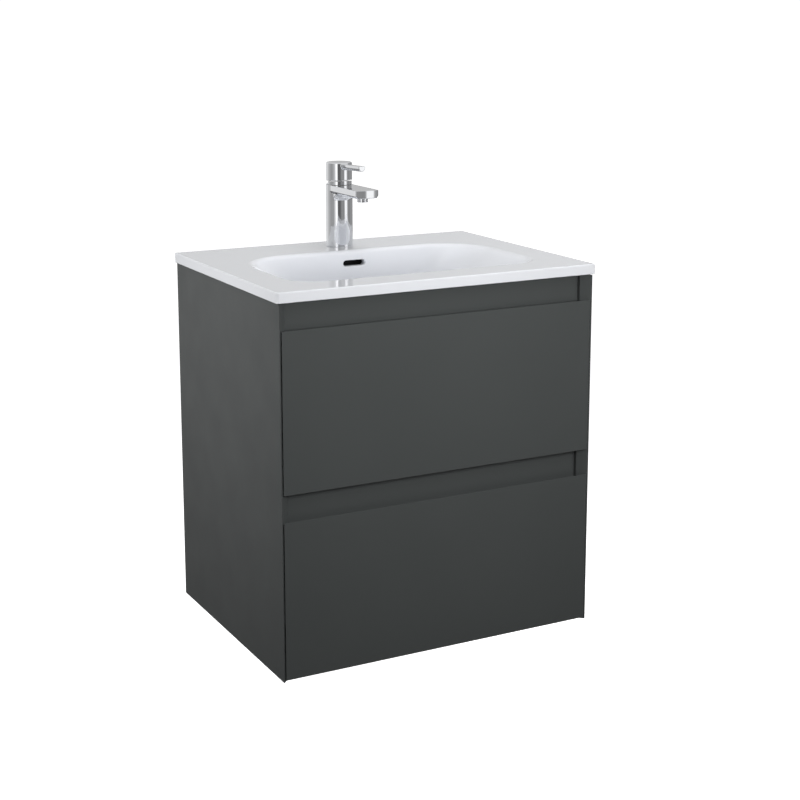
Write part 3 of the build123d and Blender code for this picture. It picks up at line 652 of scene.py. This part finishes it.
def make_stage():
    floor = bpy.data.objects.new("floor", bpy.data.meshes.new("floor"))
    bpy.context.scene.collection.objects.link(floor)
    work = bmesh.new()
    bmesh.ops.create_grid(work, x_segments=8, y_segments=8, size=60)
    work.to_mesh(floor.data)
    work.free()
    floor.location.z = FLOOR_LEVEL
    floor.data.materials.append(surface(
        "pale_floor", (0.88, 0.88, 0.88), (0.90, 0.90, 0.90), (0.7, 0.8), clouds=2, grain=200, bump=0.00002,
        Emission_Color=(1, 1, 1, 1), Emission_Strength=FLOOR_GLOW,
    ))
    floor.visible_diffuse = False
    floor.visible_glossy = False
    floor.visible_shadow = False


# the studio's level by compass angle: degrees from straight in front of the drawers, positive to the right
STUDIO = [
    (-180, 0.75), (-154, 0.83), (-138, 0.62), (-115, 0.42), (-92, 0.34), (-70, 0.50), (-57, 0.85),
    (-53, 1.5), (-43, 1.5), (-38, 0.25), (-30, 0.10), (-22, 0.13), (-13, 0.17), (-5, 0.30),
    (12, 0.28), (19, 0.32), (24, 1.1), (43, 1.1), (48, 0.40), (62, 0.24), (90, 0.32),
    (122, 0.30), (138, 0.58), (151, 0.52), (163, 0.56), (180, 0.75),
]
# height of direction (sine of elevation): how far the studio gives way to a plain level there, and that level
HEIGHTS = [
    (-1.0, 1, 0.10), (-0.40, 1, 0.10), (-0.16, 0, 0.10),
    (0.40, 0, 0.75), (0.75, 1, 0.75), (1.0, 1, 0.75),
]
STUDIO_DIFFUSE = 0.12         # the studio's share in lighting matt surfaces; the lamps do the rest
BACKDROP_LEVEL = 1.05
# name, place, aim, width, height, power
LIGHTS = [
    ("top", (0.24, -0.20, 1.85), (0.03, -0.20, 0.65), 1.3, 1.2, 11),
    ("front", (0.02, -1.45, 0.80), (0, -0.46, 0.52), 0.8, 0.3, 8.4),
    ("side", (-1.05, -0.25, 0.70), (-0.3, -0.23, 0.62), 0.6, 0.25, 4.9),
    ("right", (1.05, -0.20, 0.70), (0.3, -0.23, 0.60), 0.6, 0.25, 3.6),
    ("rear", (0.25, 1.25, 1.05), (0, 0, 0.45), 0.9, 0.5, 7),
    ("fill", (0.4, -2.0, 2.0), (0, -0.25, 0.60), 1.2, 1.2, 8),
]


def ramp_node(nodes, stops):
    """A colour ramp of plain levels at the given positions from 0 to 1."""
    ramp = nodes.new("ShaderNodeValToRGB")
    elements = ramp.color_ramp.elements
    while len(elements) < len(stops):
        elements.new(0.5)
    for element, (place, level) in zip(elements, stops):
        element.position = place
        element.color = (level, level, level, 1)
    return ramp


def make_world():
    world = bpy.data.worlds.new("studio")
    bpy.context.scene.world = world
    world.use_nodes = True
    nodes, links = world.node_tree.nodes, world.node_tree.links
    nodes.clear()
    direction = nodes.new("ShaderNodeTexCoord")
    split = nodes.new("ShaderNodeSeparateXYZ")
    links.new(direction.outputs["Generated"], split.inputs["Vector"])

    def calculate(operation, first, second, third=None):
        node = nodes.new("ShaderNodeMath")
        node.operation = operation
        for socket, value in zip(node.inputs, (first, second, third)):
            if isinstance(value, (int, float)):
                socket.default_value = value
            elif value is not None:
                links.new(value, socket)
        return node.outputs["Value"]

    toward = calculate("MULTIPLY", split.outputs["Y"], -1)
    turn = calculate("ARCTAN2", split.outputs["X"], toward)
    around = ramp_node(nodes, [((angle + 180) / 360, level / 2) for angle, level in STUDIO])
    links.new(calculate("MULTIPLY_ADD", turn, 1 / tau, 0.5), around.inputs["Fac"])
    height = calculate("MULTIPLY_ADD", split.outputs["Z"], 0.5, 0.5)
    share = ramp_node(nodes, [((z + 1) / 2, part) for z, part, _ in HEIGHTS])
    plain = ramp_node(nodes, [((z + 1) / 2, level / 2) for z, _, level in HEIGHTS])
    links.new(height, share.inputs["Fac"])
    links.new(height, plain.inputs["Fac"])
    blend = nodes.new("ShaderNodeMix")
    blend.data_type = "RGBA"
    links.new(share.outputs["Color"], blend.inputs["Factor"])
    first, second = [socket for socket in blend.inputs if socket.type == "RGBA"]
    links.new(around.outputs["Color"], first)
    links.new(plain.outputs["Color"], second)
    path = nodes.new("ShaderNodeLightPath")
    # the ramps hold half levels, so the studio's full strength is 2
    strength = calculate("MULTIPLY_ADD", path.outputs["Is Diffuse Ray"], 2 * (STUDIO_DIFFUSE - 1), 2)
    studio = nodes.new("ShaderNodeBackground")
    links.new(strength, studio.inputs["Strength"])
    links.new([socket for socket in blend.outputs if socket.type == "RGBA"][0], studio.inputs["Color"])
    backdrop = nodes.new("ShaderNodeBackground")
    backdrop.inputs["Color"].default_value = (1, 1, 1, 1)
    backdrop.inputs["Strength"].default_value = BACKDROP_LEVEL
    mix = nodes.new("ShaderNodeMixShader")
    links.new(path.outputs["Is Camera Ray"], mix.inputs["Fac"])
    links.new(studio.outputs["Background"], mix.inputs[1])
    links.new(backdrop.outputs["Background"], mix.inputs[2])
    output = nodes.new("ShaderNodeOutputWorld")
    links.new(mix.outputs["Shader"], output.inputs["Surface"])


def make_lights():
    for name, place, aim, width, height, power in LIGHTS:
        data = bpy.data.lights.new(name, "AREA")
        data.shape = "RECTANGLE"
        data.size = width
        data.size_y = height
        data.energy = power
        light = bpy.data.objects.new(name, data)
        light.location = place
        light.visible_camera = False
        light.visible_glossy = False
        light.rotation_euler = (Vector(aim) - Vector(place)).to_track_quat("-Z", "Y").to_euler()
        bpy.context.scene.collection.objects.link(light)


CAMERA_PLACE = (-1.273, -2.708, 1.100)
CAMERA_TURN = 27.93           # degrees from straight at the front, towards the left side
CAMERA_DROP = 10.77           # degrees below level
CAMERA_LENS = 71.15
CAMERA_SHIFT = -0.12


def make_camera():
    data = bpy.data.cameras.new("camera")
    data.sensor_width = 36
    data.lens = CAMERA_LENS
    data.shift_y = CAMERA_SHIFT
    camera = bpy.data.objects.new("camera", data)
    camera.location = CAMERA_PLACE
    camera.rotation_euler = (radians(90 - CAMERA_DROP), 0, -radians(CAMERA_TURN))
    bpy.context.scene.collection.objects.link(camera)
    bpy.context.scene.camera = camera
    bpy.context.scene.view_settings.view_transform = "Standard"


make_basin()
make_tap()
make_plug()
dress_nodes()
make_stage()
make_world()
make_lights()
make_camera()
